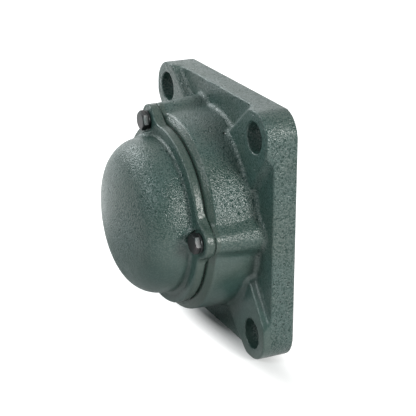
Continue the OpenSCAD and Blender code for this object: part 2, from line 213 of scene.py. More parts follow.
# %% Faces of a surface net
def net_faces(inside, used):
    """Face round each grid edge that has one end inside, with its front turned to the outside."""
    number = np.cumsum(used.ravel()).reshape(used.shape) - 1
    faces = []
    for axis in range(3):
        order = (axis, (axis + 1) % 3, (axis + 2) % 3)
        first = np.moveaxis(inside, order, (0, 1, 2))
        cell = np.moveaxis(number, order, (0, 1, 2))
        i, j, k = np.nonzero(first[:-1, 1:-1, 1:-1] != first[1:, 1:-1, 1:-1])
        ring = [cell[i, j, k], cell[i, j + 1, k], cell[i, j + 1, k + 1], cell[i, j, k + 1]]
        quad = np.stack(ring, 1)
        outward = first[i, j + 1, k + 1]
        faces.append(np.where(outward[:, None], quad, quad[:, ::-1]))
    return np.concatenate(faces)


print("faces on the ball:", len(net_faces(ball_value < 0, ball_used)))

# %% [markdown]
# The points lie only near the surface so far, because each is a mean. A few steps along the slope
# bring them on to it, and that makes the mesh look as smooth as the formula is.

# %% Surface net
def surface_net(distance, lines):
    """Points and faces of the zero surface of a distance function.

    lines holds the grid positions along the three axes. Two Newton steps, p - d * grad d, put the
    points of the net on the surface itself.
    """
    value = distance(*np.meshgrid(*lines, indexing="ij"))
    points, used = net_points(value, lines)
    faces = net_faces(value < 0, used)
    for _ in range(2):
        here, slope = gradient(distance, points)
        length = np.maximum((slope ** 2).sum(1, keepdims=True), 0.25)
        points = points - here[:, None] * slope / length
    return points, faces


ball_points = surface_net(ball, ball_lines)[0]
for title, some_points in (("before", ball_net), ("after", ball_points)):
    radii = np.linalg.norm(some_points, axis=1)
    print(title, "the steps: radius from", radii.min().round(3), "to", radii.max().round(3))

# %% [markdown]
# Sand leaves a faint unevenness of a few hundredths of a millimetre on a casting, a few
# millimetres from one swell to the next. It shows as highlights that waver. A bump in the material
# could do it, but then the outline would stay too true. Random values on a lattice, smoothly mixed
# in between, give that kind of surface in the mesh itself.

# %% Uneven cast skin
lattice = np.random.default_rng(7).uniform(-1, 1, (32, 32, 32))


def swell(points, wavelength):
    """Smooth random values from -1 to 1: lattice values mixed by 3t^2 - 2t^3 along each axis."""
    scaled = points / wavelength + 100
    corner = np.floor(scaled).astype(int)
    t = scaled - corner
    t = t * t * (3 - 2 * t)
    result = 0
    for dx in (0, 1):
        for dy in (0, 1):
            for dz in (0, 1):
                weight = (np.where(dx, t[:, 0], 1 - t[:, 0]) * np.where(dy, t[:, 1], 1 - t[:, 1])
                          * np.where(dz, t[:, 2], 1 - t[:, 2]))
                result = result + weight * lattice[tuple((corner + (dx, dy, dz)).T % 32)]
    return result


def cast_skin(points, distance, height, still):
    """Moves points along the surface normal by a swell of this height, except where still is 1."""
    slope = gradient(distance, points)[1]
    normal = slope / np.maximum(np.linalg.norm(slope, axis=1, keepdims=True), 1e-6)
    rise = 0.65 * swell(points, 4.3) + 0.35 * swell(points[:, [2, 0, 1]], 2.1)
    return points + normal * (height * rise * (1 - still))[:, None]


ball_swell = swell(ball_points, 3.0)
print("swell on the ball between", ball_swell.min().round(2), "and", ball_swell.max().round(2))

# %% [markdown]
# Meshes are filled with foreach_set, which takes whole arrays. Every piece keeps its object at the
# origin, so its place is in its mesh. Faces are shaded smooth, and only flat ends are shaded flat.

# %% Mesh from arrays
def new_piece(name, points, faces, caps=(), body="housing"):
    """Object from points in mm, four-sided faces and flat caps; it rides on a body.

    faces has four point numbers in each row, and each cap is one list of point numbers.
    """
    corners = np.concatenate([faces.ravel(), *caps]).astype(np.int32)
    sizes = [4] * len(faces) + [len(cap) for cap in caps]
    mesh = bpy.data.meshes.new(name)
    mesh.vertices.add(len(points))
    mesh.vertices.foreach_set("co", (points * MM).astype(np.float32).ravel())
    mesh.loops.add(len(corners))
    mesh.loops.foreach_set("vertex_index", corners)
    mesh.polygons.add(len(sizes))
    mesh.polygons.foreach_set("loop_start", np.cumsum([0, *sizes[:-1]]).astype(np.int32))
    mesh.update(calc_edges=True)
    mesh.validate()
    mesh.polygons.foreach_set("use_smooth", np.arange(len(mesh.polygons)) < len(faces))
    piece = bpy.data.objects.new(name, mesh)
    bpy.context.scene.collection.objects.link(piece)
    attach(piece, body)
    return piece


# %% [markdown]
# **Housing.** The outside of this casting is a square flange with a raised land at each bolt hole,
# a slightly tapered hub, three half-round ribs for the cover screws, and a pad for the grease
# nipple. The flange is written for one corner only: |x| and |z| fold the other three on to it.

# %% Flange of the housing
flange_t, land_t = 12.5, 16.5  # thickness between the bolts, and at them
corner_r = flange_half - bolt_half
land_r, land_flare = bolt_r + 6.15, 0.1  # a land widens towards the hub
land_out, land_up = 0.848, 0.53  # which way a land's sloped side faces
land_fillet, land_edge, flange_edge = 1.6, 0.6, 0.8


def plate(x, s, z):
    """Square flange with four raised lands, which run in to the hub with sloped sides.

    The outline is the distance to a square with rounded corners. u runs along the diagonal from
    the bolt hole outward and v across it: a land is round for u > 0 and a strip for u < 0.
    """
    ax, az = np.abs(x) - bolt_half, np.abs(z) - bolt_half
    past_corner = np.hypot(np.maximum(ax, 0), np.maximum(az, 0))
    outline = past_corner + np.minimum(np.maximum(ax, az), 0) - corner_r
    u, v = (ax + az) / math.sqrt(2), np.abs(ax - az) / math.sqrt(2)
    land = np.where(u > 0, np.hypot(u, v) - land_r, v - land_r + land_flare * u)
    land = common(land_out * land + land_up * (s - land_t), s - land_t, land_edge)
    return common(outline, joined(s - flange_t, land, land_fillet), flange_edge)


print("corner radius", round(corner_r, 2), "land radius", round(land_r, 2))

# %% [markdown]
# The hub is a cone whose radius falls by 1.2 mm towards its front. A casting has to have that
# taper, so that its pattern comes out of the sand. A turned bevel breaks the front edge. The ribs
# narrow with the hub.

# %% Hub of the housing
hub_foot_r, hub_front_r = 51.9, 50.7
hub_taper = (hub_foot_r - hub_front_r) / (hub_depth - flange_t)
bevel_r, bevel_out, bevel_up = 47.5, 0.605, 0.796
rib_r, rib_from, rib_len, rib_slimmer = 8.4, 11.5, 26.7, 2.0
rib_outward = 1 + 1.4 / screw_circle  # the ribs' middles lie 1.4 mm outside the screws'
rib_fillet, bevel_edge, front_edge = 3.0, 0.6, 0.3


def hub(x, s, z):
    """Tapered hub with a bevelled front edge, and a round rib under each cover screw."""
    radius = np.hypot(x, z)
    side = radius - hub_foot_r + hub_taper * (s - flange_t)
    bevel = bevel_out * (radius - bevel_r) + bevel_up * (s - hub_depth)
    result = common(side, bevel, bevel_edge)
    rib_r_here = rib_r - rib_slimmer * (s - rib_from) / rib_len
    for px, pz in screw_places:
        rib = np.hypot(x - px * rib_outward, z - pz * rib_outward) - rib_r_here
        result = joined(result, rib, rib_fillet)
    return common(result, s - hub_depth, front_edge)


print("hub taper:", round(math.degrees(math.atan(hub_taper)), 2), "degrees a side")

# %% [markdown]
# The grease nipple stands on a small round pad on the hub's left side. A fillet runs all round the
# foot of the hub, since cooling iron would crack in a sharp inner corner.

# %% Outside of the housing
nipple_s, nipple_pad_r, nipple_pad_x = 19.0, 5.6, 53.4
foot_fillet, pad_fillet, pad_edge, back_edge = 2.6, 2.0, 0.8, 0.4


def housing_outside(x, s, z):
    """Flange, hub and a round pad at -x for the grease nipple, joined with fillets."""
    pad = common(np.hypot(z, s - nipple_s) - nipple_pad_r, -x - nipple_pad_x, pad_edge)
    body = joined(plate(x, s, z), hub(x, s, z), foot_fillet)
    body = joined(body, np.maximum(pad, x), pad_fillet)
    return common(body, -s, back_edge)


pad_probe = housing_outside(np.full(1, -nipple_pad_x), np.full(1, nipple_s), np.zeros(1))
print("distance at the middle of the nipple's pad:", pad_probe.round(3))

# %% [markdown]
# Everything inside is machined: the opening at the back, the spherical seat of the insert with its
# grease groove, the front opening with the register of the cover, two notches through which the
# insert goes in edgeways, a keyway for the pin that stops it from turning, and the holes. These
# cuts keep almost sharp edges, so they are one plain union, and a single blend takes them out.

# %% Cuts in the housing
back_r, back_to, chamfer_w, chamfer_t = 37.5, 14, 2, 1.5
seat_r, seat_half_w = 40.05, 13
groove_r, groove_from, groove_to = 41.2, 14, 19
front_r, front_from = 38.6, 29
register_r, register_from, slot_end = 43.2, 35.4, 37.2
notch_half_w, notch_reach = 10.75, 40.15
key_half_w, key_reach, key_from = 2.1, 42.6, 17
tap_r, tap_from = 3.05, 24.2
feed_r, feed_end, nipple_tap_r, nipple_tap_end, feed_start = 1.5, 39, 3.05, 46, 60
cut_edge = 0.3


def housing_cuts(x, s, z):
    """Union of all cuts; each is a round or flat wall, ended by planes across the shaft."""
    radius = np.hypot(x, z)
    back_wall = np.clip(back_r + chamfer_w - s * chamfer_w / chamfer_t, back_r, back_r + chamfer_w)
    back = np.maximum(radius - back_wall, s - back_to)
    sphere = np.sqrt(x * x + z * z + (s - race_s) ** 2) - seat_r
    seat = np.maximum(sphere, between(s, race_s - seat_half_w, race_s + seat_half_w))
    groove = np.maximum(radius - groove_r, between(s, groove_from, groove_to))
    front = np.maximum(radius - front_r, front_from - s)
    register = np.maximum(radius - register_r, register_from - s)
    notch = all_of(np.abs(x) - notch_half_w, np.abs(z) - notch_reach, between(s, race_s, slot_end))
    keyway = all_of(np.abs(x) - key_half_w, between(z, 0, key_reach), between(s, key_from, slot_end))
    bolts = np.hypot(np.abs(x) - bolt_half, np.abs(z) - bolt_half) - bolt_r
    taps = [np.maximum(np.hypot(x - px, z - pz) - tap_r, tap_from - s) for px, pz in screw_places]
    across_feed = np.hypot(z, s - nipple_s)
    feed = all_of(across_feed - feed_r, x + feed_end, -x - feed_start)
    nipple_tap = all_of(across_feed - nipple_tap_r, x + nipple_tap_end, -x - feed_start)
    return any_of(back, seat, groove, front, register, notch, keyway, bolts, *taps, feed, nipple_tap)


def housing_shape(x, y, z):
    """The whole casting: outside less cuts, with the cuts' edges broken."""
    return common(housing_outside(x, -y, z), -housing_cuts(x, -y, z), cut_edge)


room = -housing_cuts(np.zeros(1), np.full(1, race_s), np.zeros(1))
print("free room round the middle of the balls:", room.round(2), "mm")

# %% [markdown]
# The grid is a little finer where the flange tops and the front edge lie, since their rounded
# edges carry the bright lines in the photograph. Were it that fine everywhere, the mesh would have
# more than twice the points. Machined faces get no swell.

# %% Build the housing
def grid_lines(low, high, step):
    """Evenly spaced positions from low to high, about one step apart."""
    return np.linspace(low, high, int(round((high - low) / step)) + 1)


coarse, fine, margin = 0.9, 0.6, 1.2
housing_swell, still_within = 0.08, 1.2
across = grid_lines(-flange_half - margin, flange_half + margin, coarse)
depths = np.concatenate([[-1.0], grid_lines(-0.45, 9.9, coarse), grid_lines(10.5, 17.5, fine),
                         grid_lines(18.4, 33.8, coarse), grid_lines(34.5, 39.0, fine)])
points, faces = surface_net(housing_shape, [across, -depths[::-1], across])
to_cut = np.abs(housing_cuts(points[:, 0], -points[:, 1], points[:, 2]))
machined = np.clip(1 - np.minimum(-points[:, 1], to_cut) / still_within, 0, 1)
points = cast_skin(points, housing_shape, housing_swell, machined)
housing = new_piece("housing_casting", points, faces)
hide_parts("housing")
print("housing:", len(points), "points,", 2 * len(faces), "triangles")

# %% [markdown]
# **Cover.** A dome with a nearly straight side, a generous corner and a slightly crowned front, on
# a rim with three ears. The dome alone could be one outline turned round the shaft, but the ears
# run up its side, so it is a distance function too. Its outline is three pieces that touch
# without a corner: a line, a small circle and a large circle. The inside is the same outline, one
# wall thickness further in.

# %% Dome of the cover
dome_r, corner, crown = 40.0, 17.3, 94.0
crown_s = dome_depth - crown
corner_x = dome_r - corner
corner_s = crown_s + math.sqrt((crown - corner) ** 2 - corner_x ** 2)


def dome(radius, s):
    """Distance to the dome: crown circle in the middle, corner circle, straight side."""
    turn = (radius - corner_x) * (corner_s - crown_s) - (s - corner_s) * corner_x
    round_part = np.hypot(radius - corner_x, s - corner_s) - corner
    top = np.hypot(radius, s - crown_s) - crown
    return np.where(s < corner_s, radius - dome_r, np.where(turn > 0, round_part, top))


print("dome corner centre at r", round(corner_x, 2), "s", round(corner_s, 2))

# %% [markdown]
# The rim is a disc with an ear at each screw. Above each ear a gusset, part of a cone, leans on the
# dome. A flat spotface under the screw's head is cut into it. Inside, a spigot enters the
# housing's register and centres the cover.

# %% Rim, ears and inside of the cover
rim_t, rim_r, ear_r, ear_fillet = 4.7, 46.3, 7.9, 5.0
rim_s = joint_s + rim_t
gusset_r, gusset_in, gusset_sunk, gusset_fillet = 8.0, 1, 0.5, 2.0
spot_r, seat_s, screw_hole_r = 6.6, rim_s - 0.1, 3.3
spigot_r, spigot_from, wall = 43.1, 35.7, 5.0
relief_r, relief_from, relief_to = 40.2, 37.2, 43.0
relief_slope = (relief_r - dome_r + wall) / (relief_to - relief_from)
rim_front_edge, rim_back_edge, dome_fillet, cover_edge, hole_edge = 1.0, 0.4, 1.8, 0.3, 0.2


def cover_outside(x, s, z):
    """Dome with gussets on a rim with ears, both from the joint forward, and a spigot behind."""
    radius = np.hypot(x, z)
    outer = dome(radius, s)
    rim = radius - rim_r
    for px, pz in screw_places:
        share = (dome_r - gusset_in) / screw_circle
        foot = np.hypot(x - px * share, z - pz * share)
        gusset = (foot - gusset_r + (s - rim_s + gusset_sunk)) * math.sqrt(0.5)
        outer = joined(outer, gusset, gusset_fillet)
        rim = joined(rim, np.hypot(x - px, z - pz) - ear_r, ear_fillet)
    rim = common(common(rim, s - rim_s, rim_front_edge), joint_s - s, rim_back_edge)
    body = joined(np.maximum(outer, joint_s - s), rim, dome_fillet)
    spigot = np.maximum(radius - spigot_r, between(s, spigot_from, joint_s + 1))
    return np.minimum(body, spigot)


def cover_shape(x, y, z):
    """The outside less spotfaces, hollow, a relief that widens its mouth, and screw holes."""
    s = -y
    radius = np.hypot(x, z)
    to_screw = any_of(*[np.hypot(x - px, z - pz) for px, pz in screw_places])
    body = common(cover_outside(x, s, z), -np.maximum(to_screw - spot_r, seat_s - s), cover_edge)
    hollow = dome(radius, s) + wall
    mouth = np.clip(relief_r - (s - relief_from) * relief_slope, dome_r - wall, relief_r)
    relief = np.maximum(radius - mouth, s - relief_to)
    body = common(body, -np.minimum(hollow, relief), cover_edge)
    return common(body, screw_hole_r - to_screw, hole_edge)


print("rim front at s =", round(rim_s, 2), "spotfaces at", round(seat_s, 2))

# %% [markdown]
# The cover's grid is finer than the housing's, because its shiny dome fills the middle of the
# picture. Its back is turned to fit the housing, so the swell fades out towards the joint.

# %% Build the cover
cover_step, cover_swell = 0.66, 0.05
across = grid_lines(-rim_r - 0.8, screw_circle + ear_r + 1.0, cover_step)
upright = grid_lines(-screw_circle - ear_r, screw_circle + ear_r + 0.5, cover_step)
depths = grid_lines(34.6, dome_depth + 0.7, fine)
points, faces = surface_net(cover_shape, [across, -depths[::-1], upright])
turned_back = np.clip((rim_s - 3 + points[:, 1]) / 2, 0, 1)
points = cast_skin(points, cover_shape, cover_swell, turned_back)
cover = new_piece("cover_casting", points, faces)
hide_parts("cover")
print("cover:", len(points), "points,", 2 * len(faces), "triangles")

# %% [markdown]
# **Screws and washers.** Turned and bent pieces need no distance function. Such a piece is one
# skin drawn as a grid: rows run along it and columns round it. Cylinders with modifiers could do
# it too, but a grid keeps every edge where the numbers say. The helper closes both ends with a
# flat face and turns the skin outward, by the sign of its volume.

# %% Closed skin from a grid
def closed_skin(name, grid):
    """Piece from a grid (rows, columns, 3) in mm, closed round its columns, capped at its ends."""
    rows, columns = grid.shape[:2]
    index = np.arange(rows * columns).reshape(rows, columns)
    turned = np.roll(index, -1, axis=1)
    quads = np.stack([index[:-1], index[1:], turned[1:], turned[:-1]], -1).reshape(-1, 4)
    caps = [index[0], index[-1, ::-1]]
    points = grid.reshape(-1, 3)
    a, b, c, d = points[quads].transpose(1, 0, 2)
    normals = np.cross(b - a, c - a) + np.cross(c - a, d - a)
    volume = np.einsum("ij,ij->i", normals, a - points.mean(0)).sum()
    if volume < 0:
        quads, caps = quads[:, ::-1], [cap[::-1] for cap in caps]
    return new_piece(name, points, quads, caps)


def about_axis(radius, angle, s, place):
    """Points at these radii and angles round a line along Y through a place (x, z)."""
    x, z = place[0] + radius * np.cos(angle), place[1] + radius * np.sin(angle)
    return np.stack([x, -s, z], -1)


above_screw = about_axis(3.0, math.pi / 2, 0.0, screw_places[0])
print("3 mm above the middle of the top screw:", above_screw.round(2))

# %% [markdown]
# A hexagon in polar form is the largest of six straight sides. A high power mean in its place
# rounds the six corners a little, as forging does. Each screw also has its real M6 thread, though
# the castings hide it: the radius swings by 0.65 mm while the angle makes one turn for each
# millimetre of length.

# %% Outline of a cover screw
washer_t, head_t, head_af, screw_len = 1.4, 3.1, 9.0, 16.0
top_disc_r, chamfer_angle = 4.2, math.radians(30)
point_r, point_len, root_r, thread_h, thread_end = 2.2, 0.8, 2.35, 0.65, 0.8
# angles within one sixth of a turn, closer together at the hexagon's corner
sector = np.array([0, 1, 2, 3.5, 6, 10, 16, 23, 30, 37, 44, 50, 54, 56.5, 58, 59])
round_angles = np.radians(np.concatenate([sector + 60 * k for k in range(6)]))


def hexagon(angle, across):
    """Radius of a hexagon with soft corners: across / 2 over the power mean of six cosines."""
    sides = np.cos(angle[:, None] - np.radians(30 + 60 * np.arange(6)))
    return across / 2 / (np.maximum(sides, 0) ** 80).sum(1) ** (1 / 80)


def thread_rows(base):
    """Rows (radius, s) of the thread: a sawtooth of the length less the turns made so far."""
    start = base - screw_len
    rows = [(np.full_like(round_angles, point_r), start)]
    for s in np.arange(start + 0.2, base - thread_end, 0.125):
        swing = np.abs(2 * ((s - round_angles / (2 * math.pi)) % 1) - 1)
        grown = min(1.0, (s - base + screw_len) / point_len)
        rows.append((root_r + thread_h * swing * grown, s))
    return rows


def head_rows(base):
    """Rows (radius, s) of the neck, the hexagon and its chamfer, which is a cone."""
    hexa, ring = hexagon(round_angles, head_af), np.ones_like(round_angles)
    top = base + head_t
    chamfer = top - (hexa - top_disc_r) * math.tan(chamfer_angle)
    neck = [(2.95 * ring, base - 0.5), (3.0 * ring, base), (4.1 * ring, base)]
    sides = [(hexa - 0.22, base + 0.03), (hexa - 0.05, base + 0.1), (hexa, base + 0.25),
             (hexa, chamfer - 0.2), (hexa - 0.03, chamfer - 0.04), (hexa - 0.16, chamfer + 0.07)]
    flat = [(4.3 * ring, top - 0.05), (4.16 * ring, top), (3.8 * ring, top)]
    return neck + sides + flat


print("rows on the thread:", len(thread_rows(0.0)), "on the head:", len(head_rows(0.0)))

# %% [markdown]
# No two heads stand at the same angle once they are tightened. The turns of the two that can be
# seen are the photograph's.

# %% Cover screws
head_turns = np.radians([-15, -5, 247])
head_s = seat_s + washer_t
screws = []
for name, place, turn in zip(screw_names, screw_places, head_turns):
    rows = thread_rows(head_s) + head_rows(head_s)
    grid = np.stack([about_axis(radius, round_angles + turn, np.broadcast_to(s, radius.shape), place)
                     for radius, s in rows])
    screw = closed_skin("screw_" + name, grid)
    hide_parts("cover_screw_" + name)
    screws.append(screw)
print("screws:", len(screws), "with", len(rows) * len(round_angles), "points each")

# %% [markdown]
# A spring washer is a short bar of nearly square section, bent once round and cut. It sits dark
# under each head. A curve with a bevel could make it, but its ends would need caps. So its section
# is carried along the bend by formula, from one side of the cut to the other. A quarter power of
# sine and cosine makes the section's circle nearly square.

# %% Spring washers
washer_mid_r, half_w, half_t, squareness = 3.98, 0.8, 0.69, 0.25
washer_cuts = np.radians([207.5, 201.5, 296])
section_turn = np.linspace(0, 2 * math.pi, 32, endpoint=False)
cosine, sine = np.cos(section_turn), np.sin(section_turn)
flat_r = half_w * np.sign(cosine) * np.abs(cosine) ** squareness
flat_s = half_t * np.sign(sine) * np.abs(sine) ** squareness
washers = []
for name, place, cut_at in zip(screw_names, screw_places, washer_cuts):
    bend = cut_at + np.linspace(math.radians(6), math.radians(354), 73)
    angle, radius = np.meshgrid(bend, washer_mid_r + flat_r, indexing="ij")
    level = np.broadcast_to(seat_s + washer_t / 2 + flat_s, radius.shape)
    washer = closed_skin("washer_" + name, about_axis(radius, angle, level, place))
    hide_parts("lock_washer_" + name)
    washers.append(washer)
print("washers:", len(washers), "with", radius.size, "points each")

# %% [markdown]
# **Finishes.** Each finish is a small node tree. The first helper adds one node, and takes for each
# input either a plain value or the output that feeds it, so that a tree reads from top to bottom.
# All patterns use Object coordinates, which are metres here: a noise scale of 700 gives a grain of
# about 1.4 mm.

# %% Node helper
def node(tree, kind, inputs=None, **settings):
    """Adds a shader node and fills its inputs with values or with outputs of other nodes."""
    new = tree.nodes.new("ShaderNode" + kind)
    for key, value in settings.items():
        setattr(new, key, value)
    for key, value in (inputs or {}).items():
        if isinstance(value, bpy.types.NodeSocket):
            tree.links.new(value, new.inputs[key])
        else:
            new.inputs[key].default_value = value
    return new


def new_finish(name, **values):
    """Material with a Principled surface; returns it, its tree, surface and Object coordinates."""
    material = bpy.data.materials.new(name)
    material.use_nodes = True
    tree = material.node_tree
    surface = tree.nodes["Principled BSDF"]
    for key, value in values.items():
        surface.inputs[key.replace("_", " ")].default_value = value
    return material, tree, surface, node(tree, "TexCoord").outputs["Object"]


paint, tree, surface, place = new_finish("casting_paint")
print("nodes of a new finish:", [n.name for n in tree.nodes])

# %% [markdown]
# The same few steps come back in every finish: a calculation, a range stretched to another one, a
# mix of two colours, a grain, a distance to a spot, and a bump.

# %% Helpers for common steps
def calculated(tree, operation, first, second=0.0, clamp=False):
    """Result of one calculation, such as ADD or MULTIPLY, with two values."""
    inputs = {0: first, 1: second}
    return node(tree, "Math", inputs, operation=operation, use_clamp=clamp).outputs["Value"]


def spread(tree, value, low, high, to_low=0.0, to_high=1.0):
    """Stretches a value from one range to another, and keeps it inside."""
    return node(tree, "MapRange", {"Value": value, "From Min": low, "From Max": high,
                                   "To Min": to_low, "To Max": to_high}).outputs["Result"]


def mixed(tree, factor, first, second):
    """Colour between two others, by a factor from another node."""
    mix = node(tree, "Mix", {0: factor}, data_type="RGBA")
    for socket, value in ((mix.inputs[6], first), (mix.inputs[7], second)):
        if isinstance(value, bpy.types.NodeSocket):
            tree.links.new(value, socket)
        else:
            socket.default_value = (*value, 1)
    return mix.outputs[2]


def noise(tree, vector, scale, detail):
    """Soft random pattern, mostly between 0.3 and 0.7."""
    inputs = {"Vector": vector, "Scale": scale, "Detail": detail}
    return node(tree, "TexNoise", inputs).outputs["Fac"]


def distance_to(tree, vector, spot):
    """Distance in metres from the shaded point to a fixed spot."""
    return node(tree, "VectorMath", {0: vector, 1: spot}, operation="DISTANCE").outputs["Value"]


def bumped(tree, height, depth, strength=1.0, under=None, invert=False):
    """Normal bent by a height pattern of this depth in metres, on top of another normal."""
    inputs = {"Height": height, "Strength": strength, "Distance": depth}
    if under is not None:
        inputs["Normal"] = under
    return node(tree, "Bump", inputs, invert=invert).outputs["Normal"]


helpers = [calculated, spread, mixed, noise, distance_to, bumped]
print("helpers ready:", [helper.__name__ for helper in helpers])

# %% [markdown]
# **Paint.** The castings are sprayed dark green-grey without any smoothing, so the grain of the
# sand shows through the gloss and breaks every highlight into sparkles. Grain of about 1 mm does
# most of it, with a deeper pit here and there. Much finer grain would only look matt from this far
# away. Pits could be a second noise, but then they would have no clear edge. Here they are the
# hearts of a few Voronoi cells, chosen by their random colour.

# %% Grain and pits of the paint
grain_scale, wide_scale, pit_scale = 1300, 45, 480
none_below, all_above = 0.76, 0.80
grain = noise(tree, place, grain_scale, 1.0)
wide = noise(tree, place, wide_scale, 2.0)
cells = node(tree, "TexVoronoi", {"Vector": place, "Scale": pit_scale})
cell_value = node(tree, "SeparateColor", {"Color": cells.outputs["Color"]}).outputs["Red"]
chosen = spread(tree, cell_value, none_below, all_above)
pit = calculated(tree, "MULTIPLY", chosen,
                 spread(tree, cells.outputs["Distance"], 0.12, 0.36, 1.0, 0.0))
print(f"grain of {1000 / grain_scale:.1f} mm, pits in cells of {1000 / pit_scale:.1f} mm,",
      f"{1 - all_above:.0%} of them deep")

# %% [markdown]
# The paint ran together low on the right and left that part smooth, down to the flange. The band
# next to the joint was turned before painting, so it is smoother too. Both are places on the
# object, so they are distances in Object coordinates, and they stay put when the camera moves.

# %% Where the paint is smooth
pool_spot, pool_near, pool_far = (0.050, -0.045, -0.050), 0.043, 0.062
band_y, band_near, band_far = -0.0394, 0.0034, 0.0040
depth = node(tree, "SeparateXYZ", {"Vector": place}).outputs["Y"]
off_joint = calculated(tree, "ABSOLUTE", calculated(tree, "SUBTRACT", depth, band_y))
turned = spread(tree, off_joint, band_near, band_far, 1.0, 0.0)
off_pool = spread(tree, distance_to(tree, place, pool_spot), pool_near, pool_far, 0.12, 1.0)
on_flange = spread(tree, depth, -0.0135, -0.0115)
rough_skin = calculated(tree, "MULTIPLY", calculated(tree, "MAXIMUM", off_pool, on_flange),
                        spread(tree, turned, 0.0, 1.0, 1.0, 0.5))
print("turned band from y =", band_y - band_near, "to", band_y + band_near)

# %% [markdown]
# Four bumps lie on top of one another: slow waves, pits, grain, and a small nick from the foundry
# on the hub. The pits and the grain fade where the paint is smooth.

# %% Bumps of the paint
nick_spot = (0.0233, -0.0186, 0.0455)
nick = spread(tree, distance_to(tree, place, nick_spot), 0.0003, 0.0011)
normal = bumped(tree, wide, 0.0008)
normal = bumped(tree, pit, 0.0003, rough_skin, normal, invert=True)
normal = bumped(tree, grain, 0.0004, rough_skin, normal)
normal = bumped(tree, nick, 0.0012, under=normal)
tree.links.new(normal, surface.inputs["Normal"])
print("nick at", [round(c / MM, 1) for c in nick_spot], "mm")

# %% [markdown]
# The valleys of the grain and the pits are darker and less shiny than its tips: dust gathers there,
# and the darker colour and lower gloss are also painted shade. That contrast makes the sparkle, more
# than the bumps do. Slow changes of tint and gloss keep the large faces from looking printed.

# %% Colours of the paint
green_paint, olive_paint = (0.042, 0.092, 0.082), (0.052, 0.090, 0.076)
turned_paint, valley_dust_and_shade = (0.040, 0.071, 0.056), (0.028, 0.062, 0.054)
nick_dark = (0.012, 0.014, 0.012)
tip = calculated(tree, "SUBTRACT", spread(tree, grain, 0.32, 0.58),
                 calculated(tree, "MULTIPLY", pit, 0.65))
tip = calculated(tree, "MAXIMUM", tip, spread(tree, rough_skin, 0.0, 1.0, 0.8, 0.0))
slow = spread(tree, wide, 0.35, 0.65)
tint = mixed(tree, slow, green_paint, olive_paint)
tint = mixed(tree, turned, tint, turned_paint)
# valleys and pits take the dark colour and less gloss: painted shade, with dust
tint = mixed(tree, tip, valley_dust_and_shade, tint)
tree.links.new(mixed(tree, nick, nick_dark, tint), surface.inputs["Base Color"])
tree.links.new(spread(tree, tip, 0.0, 1.0, 0.22, 0.75), surface.inputs["Specular IOR Level"])
tree.links.new(spread(tree, slow, 0.0, 1.0, 0.29, 0.36), surface.inputs["Roughness"])
print("paint nodes:", len(tree.nodes))

# %% [markdown]
# **Machined iron and steel.** The seat, the openings and the back face are cut bright, and the
# rings are ground. A lathe leaves fine rings round the shaft line. The Anisotropic input would
# stretch the highlights in the same way, but shows no marks. So the marks are drawn as noise of the
# distance to the shaft line, and other colours and depths make ground and plated parts of it.

# %% Turned metals
def turned_metal(name, color, roughness, mark):
    """Metal with turning marks: noise of the radius and the depth only, so it draws rings."""
    material, tree, surface, place = new_finish(name, Metallic=1.0, Roughness=roughness)
    parts = node(tree, "SeparateXYZ", {"Vector": place})
    flat = node(tree, "CombineXYZ", {"X": parts.outputs["X"], "Y": parts.outputs["Z"]})
    radius = node(tree, "VectorMath", {0: flat.outputs["Vector"]}, operation="LENGTH")
    rings = node(tree, "CombineXYZ", {"X": radius.outputs["Value"], "Y": parts.outputs["Y"]})
    marks = noise(tree, rings.outputs["Vector"], 2600, 2.0)
    cloud = noise(tree, place, 60, 3.0)
    dull = spread(tree, cloud, 0.3, 0.7, roughness * 0.8, roughness * 1.3)
    tone = mixed(tree, spread(tree, cloud, 0.3, 0.7), color, tuple(0.8 * c for c in color))
    tree.links.new(dull, surface.inputs["Roughness"])
    tree.links.new(tone, surface.inputs["Base Color"])
    tree.links.new(bumped(tree, marks, mark), surface.inputs["Normal"])
    return material


machined_iron = turned_metal("machined_iron", (0.42, 0.41, 0.40), 0.42, 0.00004)
ground_steel = turned_metal("ground_steel", (0.60, 0.59, 0.58), 0.24, 0.000012)
plated_sheet = turned_metal("plated_sheet", (0.62, 0.62, 0.60), 0.34, 0.00002)
print("metals:", machined_iron.name, ground_steel.name, plated_sheet.name)

# %% [markdown]
# **Other finishes.** The screws and washers are blackened steel, a little brown. The gasket is a
# pressed board, the seals are rubber, the cage is a polymer, and the nipple has a yellow chromate
# over zinc. They differ in colour, gloss and grain but not in kind, so one helper makes them all.

# %% Grained finishes
def grained(name, color, other, scale, depth, **values):
    """Finish with a fine grain that changes both its colour and its surface."""
    material, tree, surface, place = new_finish(name, **values)
    grain = noise(tree, place, scale, 3.0)
    tone = mixed(tree, spread(tree, grain, 0.3, 0.7), color, other)
    tree.links.new(tone, surface.inputs["Base Color"])
    tree.links.new(bumped(tree, grain, depth), surface.inputs["Normal"])
    return material


black_screw = grained("black_screw", (0.062, 0.058, 0.060), (0.026, 0.034, 0.034), 260, 0.00004,
                      Metallic=0.75, Roughness=0.40)
gasket_board = grained("gasket_board", (0.050, 0.080, 0.070), (0.030, 0.050, 0.044), 1200, 0.00005,
                       Roughness=0.8)
cage_polymer = grained("cage_polymer", (0.55, 0.47, 0.30), (0.50, 0.42, 0.26), 300, 0.00002,
                       Roughness=0.42)
seal_rubber = grained("seal_rubber", (0.016, 0.016, 0.017), (0.024, 0.024, 0.025), 700, 0.00004,
                      Roughness=0.55)
nipple_plate = grained("nipple_plate", (0.62, 0.52, 0.24), (0.54, 0.47, 0.26), 500, 0.00001,
                       Metallic=1.0, Roughness=0.30)
for piece in [*screws, *washers]:
    piece.data.materials.append(black_screw)
print("black pieces:", len(screws) + len(washers))

# %% [markdown]
# The record says which finish each CAD node has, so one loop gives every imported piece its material.

